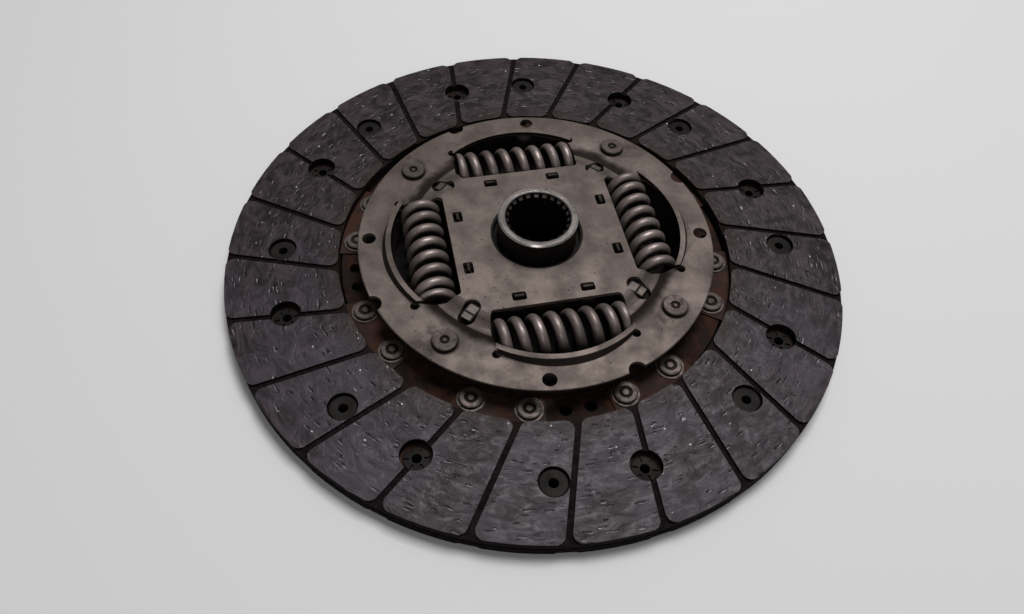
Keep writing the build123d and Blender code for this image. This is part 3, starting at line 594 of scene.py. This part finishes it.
def tab_painted_shade(f):
    """Painted shade: the disc spring's tabs are darkened at their sides, at their root and at the bend, and
    keep their tone between.
    """
    out, side = quarter_frame(f, TAB_ANGLE)
    sides = f.ramp(side, *TAB_SIDE)
    bend = f.times(f.ramp(out, *TAB_BEND_FROM), f.ramp(out, *TAB_BEND_TO))
    root = f.ramp(out, *TAB_ROOT)
    # painted shade at the tabs' sides, bend and root
    dirt = f.math("MAXIMUM", f.math("MAXIMUM", sides, bend), root)
    return f.times(dirt, 0.95)


SPRINGS = steel_finish("spring_steel", rgb(0.32, 0.265, 0.25), rgb(0.16, 0.130, 0.121),
                       rgb(0.011, 0.0076, 0.007), dirt=0.4, rough=0.46, pits=0.7, metal=0.70,
                       extra=valley_dirt_and_shade)
TABS = steel_finish("disc_spring_steel", rgb(0.15, 0.128, 0.116), rgb(0.07, 0.059, 0.053),
                    rgb(0.008, 0.0055, 0.005), dirt=0.3, rough=0.42, pits=0.4, metal=0.6, extra=tab_painted_shade)
print("made", SPRINGS.name, TABS.name)


# %% [markdown]
# ## Hub
#
# The hub is turned and broached. Its top face is machined bright. Below it the barrel and the bore are
# darkened with painted shade, and only the tips of the spline teeth at the mouth keep the plain tone.

# %% Hub
HUB_FACE_Z = (25.85, 25.5)
TIP_R, TIP_Z = (12.0, 11.7), (24.2, 24.4)


def hub_painted_shade(f):
    """Painted shade on the barrel and in the bore below the machined top face, but not on the tips of the
    teeth at the mouth.
    """
    low = f.ramp(f.z, *HUB_FACE_Z, 0.0, 0.94)
    tips = f.times(f.ramp(f.radius, *TIP_R), f.ramp(f.z, *TIP_Z))
    return f.math("SUBTRACT", low, tips, clamp=True)


HUB = steel_finish("hub_steel", rgb(0.19, 0.170, 0.160), rgb(0.085, 0.075, 0.070),
                   rgb(0.012, 0.0085, 0.008), dirt=0.35, rough=0.36, pits=1.0, metal=0.85, extra=hub_painted_shade)
# the hub's edges and chamfer: bright machined steel with a painted highlight
HUB_EDGE = steel_finish("hub_steel_edge", rgb(0.66, 0.63, 0.61), rgb(0.34, 0.31, 0.29),
                        rgb(0.06, 0.045, 0.04), dirt=0.3, rough=0.27, pits=0.4, metal=0.9)
print("made", HUB.name, HUB_EDGE.name)


# %% [markdown]
# ## Rivets and bushes
#
# The heads of the stop rivets and of the segment rivets have a ring groove, left by the riveting tool. Dirt
# and painted shade darken it and the heads' sides, so both are told by their height. The facing rivets sit
# deep in their holes under lining dust, and painted shade makes them nearly black. The bushes are moulded
# friction material.

# %% Rivets and bushes
STOP_HEAD_Z = ((16.05, 15.85), (14.50, 14.60))
SEGMENT_HEAD_Z = ((6.00, 5.80), (4.90, 5.00))


def groove_dirt_and_shade(f):
    """Dirt and painted shade below the heads' tops: on their sides and in their ring grooves."""
    below, above = STOP_HEAD_Z
    stop = f.times(f.ramp(f.z, *below), f.ramp(f.z, *above))
    below, above = SEGMENT_HEAD_Z
    rim = f.times(f.ramp(f.z, *below), f.ramp(f.z, *above))
    blotch = f.ramp(f.noise(2.2, 3.0, 0.6, None, 3.0), 0.45, 0.65, 0.0, 0.45)
    return f.math("MAXIMUM", blotch, f.times(f.math("MAXIMUM", stop, rim), 0.93))


RIVETS = steel_finish("rivet_steel", rgb(0.120, 0.096, 0.087), rgb(0.070, 0.056, 0.050),
                      rgb(0.014, 0.0095, 0.008), dirt=0.3, rough=0.45, pits=0.5, metal=0.5,
                      extra=groove_dirt_and_shade)
# lining dust and painted shade: the facing rivets, nearly black in their holes
DARK_RIVET = steel_finish("facing_rivet_steel", rgb(0.019, 0.0155, 0.015), rgb(0.010, 0.0082, 0.008),
                          rgb(0.006, 0.0042, 0.004), dirt=0.5, rough=0.60, pits=0.4, metal=0.15,
                          shine=0.08)
MOULDED = steel_finish("moulded_friction", rgb(0.015, 0.0125, 0.012), rgb(0.008, 0.0068, 0.0065),
                       rgb(0.010, 0.0065, 0.006), dirt=0.4, rough=0.7, pits=0.2, metal=0.0)
print("made", RIVETS.name, DARK_RIVET.name, MOULDED.name)


# %% [markdown]
# ## Which finish goes where
#
# The record gives every solid a material slot. A table says which finish a slot has, and a second one names
# the few solids that differ from the rest of their slot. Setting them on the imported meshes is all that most
# solids need. The ones that are copied below take their finish from the same tables.

# %% Which finish goes where
FINISHES = {"friction_lining": LINING, "plate_steel": PLATE, "browned_steel": BROWNED,
            "rivet_steel": RIVETS, "spring_steel": SPRINGS, "hub_steel": HUB,
            "moulded_friction": MOULDED}
OWN_FINISH = {"facing_rivets_gearbox_side": DARK_RIVET, "facing_rivets_flywheel_side": DARK_RIVET,
              "friction_ring": DARK_RING, "drive_plate": PAINTED_SHADE_INSIDE, "hub_flange": PAINTED_SHADE_INSIDE,
              "disc_spring": TABS}
SLOT_OF = {row["node"]: row["material_slot"] for row in frame["record"]["subparts"]}

for node, piece in frame["nodes"].items():
    piece.data.materials.clear()
    piece.data.materials.append(OWN_FINISH.get(node, FINISHES[SLOT_OF[node]]))
print(len(frame["nodes"]), "solids' nodes in", len(FINISHES), "slots, of which", len(OWN_FINISH), "differ")


# %% [markdown]
# ## Softened edges
#
# No pressed, turned or moulded edge is knife-sharp, and the thin line of light on it is what makes a part
# look solid. Each CAD mesh is copied, its loose triangles are merged back into flat faces, and a narrow bevel
# goes on every sharp edge. The bevel has a material of its own, lighter than the faces: that is where a part
# is rubbed bare first, and the lighter tone is a painted highlight too. Faces that nothing rubs on, such as
# those of the grooves, can get a third material.

# %% Softened copies of the solids
SHARP = math.radians(32)
NEARLY_FLAT = math.radians(0.4)
SAME_POINT = 0.0005 * MM
BEVEL_STEPS = 2


def softened(node, width, edge, low=None, low_faces=None):
    """A copy of a solid with merged faces and a bevel, standing for that solid; the width is in mm.

    low is a third finish, for the faces that low_faces picks by their middle in mm and their normal.
    """
    source = frame["nodes"][node]
    mesh = source.data.copy()
    work = bmesh.new()
    work.from_mesh(mesh)
    bmesh.ops.remove_doubles(work, verts=work.verts, dist=SAME_POINT)
    bmesh.ops.dissolve_limit(work, angle_limit=NEARLY_FLAT, verts=work.verts, edges=work.edges)
    work.to_mesh(mesh)
    work.free()
    mesh.materials.clear()
    mesh.materials.append(FINISHES[SLOT_OF[node]])
    mesh.materials.append(edge)
    if low:
        mesh.materials.append(low)
        for face in mesh.polygons:
            face.material_index = 2 if low_faces(face.center / MM, face.normal) else 0
    piece = bpy.data.objects.new(node + "_dressed", mesh)
    bpy.context.scene.collection.objects.link(piece)
    bevel = piece.modifiers.new("bevel", "BEVEL")
    bevel.width = width * MM
    bevel.segments = BEVEL_STEPS
    bevel.limit_method = "ANGLE"
    bevel.angle_limit = SHARP
    bevel.harden_normals = True
    bevel.use_clamp_overlap = True
    bevel.material = 1
    mesh.shade_smooth()
    mesh.set_sharp_from_angle(angle=SHARP)
    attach(piece, source["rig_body"])
    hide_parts(node)
    print(node, "copied with", len(mesh.polygons), "faces and a bevel of", width, "mm")
    return piece


FACE_TOP_Z = 8.1
FACE_SLACK = 0.05
HUB_TOP_Z = 26.0
HUB_CHAMFER = 0.7
CHAMFER_SLOPE = (0.3, 0.95)


def off_the_face(middle, normal):
    """Faces of a facing that rub on nothing: all but its flat outer side."""
    return min(abs(middle.z), abs(middle.z - FACE_TOP_Z)) >= FACE_SLACK


def hub_rim(middle, normal):
    """The chamfer round the hub's top."""
    return middle.z > HUB_TOP_Z - HUB_CHAMFER and CHAMFER_SLOPE[0] < normal.z < CHAMFER_SLOPE[1]


# %% The solids with softened edges
EDGES = {
    "facing_gearbox_side": (0.20, LINING_EDGE, DUST_AND_SHADE, off_the_face),
    "facing_flywheel_side": (0.20, LINING_EDGE, DUST_AND_SHADE, off_the_face),
    "retainer_plate": (0.14, PLATE_EDGE),
    "splined_hub": (0.16, HUB_EDGE, HUB_EDGE, hub_rim),
}
dressed = {node: softened(node, *choice) for node, choice in EDGES.items()}


# %% [markdown]
# ## Lead-in at the hub's mouth
#
# A hub slides on to the gearbox shaft over its splines, and a cone turned in its mouth guides the first
# teeth in. It cuts the ends of the teeth back, which makes the row of small bright facets round the bore. A
# cone that is taken away by a Boolean does just what the lathe does. The bevel is switched off while the
# cut is made, so that it rounds the new edges too.

# %% Lead-in at the hub's mouth
MOUTH_R, MOUTH_DEPTH = 12.95, 1.7
CONE_PROUD = 0.5
CONE_SIDES = 96


def cut_mouth(piece):
    """Cuts the spline teeth back to a cone at the mouth, so that the shaft finds its way in."""
    work = bmesh.new()
    bmesh.ops.create_cone(work, cap_ends=True, segments=CONE_SIDES,
                          radius1=(MOUTH_R - MOUTH_DEPTH) * MM, radius2=(MOUTH_R + CONE_PROUD) * MM,
                          depth=(MOUTH_DEPTH + CONE_PROUD) * MM)
    cone_z = HUB_TOP_Z + (CONE_PROUD - MOUTH_DEPTH) / 2
    bmesh.ops.translate(work, verts=work.verts, vec=(0, 0, cone_z * MM))
    mesh = bpy.data.meshes.new("mouth_cone")
    work.to_mesh(mesh)
    work.free()
    mesh.materials.append(HUB)
    cone = bpy.data.objects.new("mouth_cone", mesh)
    bpy.context.scene.collection.objects.link(cone)
    bevel = piece.modifiers[0]
    bevel.show_viewport = False
    cut = piece.modifiers.new("mouth", "BOOLEAN")
    cut.object = cone
    cut.solver = "EXACT"
    cut.material_mode = "TRANSFER"
    bpy.context.view_layer.update()
    shown = piece.evaluated_get(bpy.context.evaluated_depsgraph_get())
    result = bpy.data.meshes.new_from_object(shown)
    piece.modifiers.remove(cut)
    bevel.show_viewport = True
    piece.data = result
    result.shade_smooth()
    result.set_sharp_from_angle(angle=SHARP)
    bpy.data.objects.remove(cone)
    print("hub's mouth cut, now", len(result.polygons), "faces")


cut_mouth(dressed["splined_hub"])


# %% [markdown]
# ## Damper springs
#
# Each spring is one thick wire wound about eight times. Its first and last turns lie closer, and the ends
# are ground flat. A Geometry Nodes tree follows that recipe: a spiral whose rise per turn is remapped, a
# round profile swept along it, and a clamp on the ends that does the grinding. The first cell has the
# helpers. `tree_with` names a tree's inputs, `add` and `sums` make one node each, and `grown` runs the tree
# once and keeps the mesh.

# %% Geometry Nodes helper
def tree_with(name, numbers):
    """An empty Geometry Nodes tree with named number inputs."""
    tree = bpy.data.node_groups.new(name, "GeometryNodeTree")
    tree.interface.new_socket("Geometry", in_out="INPUT", socket_type="NodeSocketGeometry")
    tree.interface.new_socket("Geometry", in_out="OUTPUT", socket_type="NodeSocketGeometry")
    for label, value in numbers.items():
        socket = tree.interface.new_socket(label, in_out="INPUT", socket_type="NodeSocketFloat")
        socket.default_value = value
    return tree, tree.nodes.new("NodeGroupInput"), tree.nodes.new("NodeGroupOutput")


def add(tree, kind, inputs=None, **settings):
    """One node; each input is a number or another node's output."""
    made = tree.nodes.new(kind)
    for key, value in settings.items():
        setattr(made, key, value)
    for socket, value in (inputs or {}).items():
        if isinstance(value, bpy.types.NodeSocket):
            tree.links.new(value, made.inputs[socket])
        else:
            made.inputs[socket].default_value = value
    return made


def sums(tree, operation, first, second=0.0):
    """The result of one sum on two numbers."""
    return add(tree, "ShaderNodeMath", {0: first, 1: second}, operation=operation).outputs[0]


def grown(tree, name, values):
    """Runs a tree with some values and returns the result as a plain object."""
    seed = bpy.data.objects.new(name + "_seed", bpy.data.meshes.new(name + "_seed"))
    bpy.context.scene.collection.objects.link(seed)
    modifier = seed.modifiers.new("grow", "NODES")
    modifier.node_group = tree
    for socket in tree.interface.items_tree:
        if socket.in_out == "INPUT" and socket.name in values:
            modifier[socket.identifier] = values[socket.name]
    bpy.context.view_layer.update()
    result = seed.evaluated_get(bpy.context.evaluated_depsgraph_get())
    mesh = bpy.data.meshes.new_from_object(result)
    bpy.data.objects.remove(seed)
    piece = bpy.data.objects.new(name, mesh)
    bpy.context.scene.collection.objects.link(piece)
    print(name, "has", len(mesh.polygons), "faces")
    return piece


# %% The spring tree
SPRING = {"Coil radius": 5.95 * MM, "Wire radius": 2.05 * MM, "Half length": 24.1 * MM,
          "Turns": 7.7, "Closed turns": 0.7, "Closed pitch": 4.1 * MM, "Phase": 0.25}
STEPS_PER_TURN = 40
WIRE_SIDES = 20
GROUND_OFF = 0.3 * MM


def spring_tree(material):
    """The tree of one spring, lying along +Y with its middle at the origin."""
    tree, given, out = tree_with("coil_spring", SPRING)
    half, turns = given.outputs["Half length"], given.outputs["Turns"]
    closed, pitch = given.outputs["Closed turns"], given.outputs["Closed pitch"]
    count = round(SPRING["Turns"] * STEPS_PER_TURN)
    line = add(tree, "GeometryNodeCurvePrimitiveLine")
    wire = add(tree, "GeometryNodeResampleCurve", {"Curve": line.outputs[0], "Count": count}, mode="COUNT")
    share = add(tree, "GeometryNodeSplineParameter").outputs["Factor"]
    turn = sums(tree, "MULTIPLY", share, turns)
    # Height: slow over the closed turns, quicker over the open ones, the same from both ends.
    mid = sums(tree, "MULTIPLY", turns, 0.5)
    from_mid = sums(tree, "SUBTRACT", turn, mid)
    open_half = sums(tree, "SUBTRACT", mid, closed)
    in_open = sums(tree, "MINIMUM", sums(tree, "ABSOLUTE", from_mid), open_half)
    past = sums(tree, "SUBTRACT", sums(tree, "ABSOLUTE", from_mid), in_open)
    closed_rise = sums(tree, "MULTIPLY", closed, pitch)
    open_rise = sums(tree, "SUBTRACT", sums(tree, "SUBTRACT", half, GROUND_OFF), closed_rise)
    rise = sums(tree, "MULTIPLY", sums(tree, "DIVIDE", in_open, open_half), open_rise)
    rise = sums(tree, "ADD", rise, sums(tree, "MULTIPLY", past, pitch))
    along = sums(tree, "MULTIPLY", rise, sums(tree, "SIGN", from_mid))
    # Round the coil: over the top from the hub's side outwards.
    angle = sums(tree, "MULTIPLY", sums(tree, "ADD", turn, given.outputs["Phase"]), -2 * math.pi)
    out_u = sums(tree, "MULTIPLY", sums(tree, "COSINE", angle), given.outputs["Coil radius"])
    out_z = sums(tree, "MULTIPLY", sums(tree, "SINE", angle), given.outputs["Coil radius"])
    place = add(tree, "ShaderNodeCombineXYZ", {"X": out_u, "Y": along, "Z": out_z})
    wire = add(tree, "GeometryNodeSetPosition", {"Geometry": wire.outputs[0], "Position": place.outputs[0]})
    profile = add(tree, "GeometryNodeCurvePrimitiveCircle",
                  {"Resolution": WIRE_SIDES, "Radius": given.outputs["Wire radius"]}, mode="RADIUS")
    tube = add(tree, "GeometryNodeCurveToMesh",
               {"Curve": wire.outputs[0], "Profile Curve": profile.outputs[0], "Fill Caps": True})
    # Grinding: no point of the wire may stand past the spring's flat ends.
    point = add(tree, "ShaderNodeSeparateXYZ", {0: add(tree, "GeometryNodeInputPosition").outputs[0]})
    ground = add(tree, "ShaderNodeClamp", {"Value": point.outputs["Y"],
                 "Min": sums(tree, "MULTIPLY", half, -1.0), "Max": half})
    flat = add(tree, "ShaderNodeCombineXYZ",
               {"X": point.outputs["X"], "Y": ground.outputs[0], "Z": point.outputs["Z"]})
    tube = add(tree, "GeometryNodeSetPosition", {"Geometry": tube.outputs[0], "Position": flat.outputs[0]})
    real = add(tree, "GeometryNodeRealizeInstances", {0: tube.outputs[0]})
    dressed = add(tree, "GeometryNodeSetMaterial", {"Geometry": real.outputs[0], "Material": material})
    tree.links.new(dressed.outputs[0], out.inputs[0])
    return tree


# %% [markdown]
# ## The springs in their windows
#
# When the hub turns, an arm of its flange presses one end of each spring, and the window's edge holds the
# other. So the spring gets shorter, and its middle moves half as far as the arm. Here each spring is wound at
# rest, set in its window and hung on the damper springs' body, in place of the CAD spring.

# %% The four springs
SPRING_COUNT = 4

tree = spring_tree(SPRINGS)
for number in range(1, SPRING_COUNT + 1):
    node = f"damper_spring_{number}"
    piece = grown(tree, node + "_wound", SPRING)
    turn = Matrix.Rotation(math.radians(WINDOW_ANGLE + 360 / SPRING_COUNT * (number - 1)), 4, "Z")
    piece.data.transform(turn @ Matrix.Translation((SPRING_U * MM, 0, MIDDLE_Z * MM)))
    piece.data.shade_smooth()
    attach(piece, "damper_springs")
    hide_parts(node)
    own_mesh(piece)
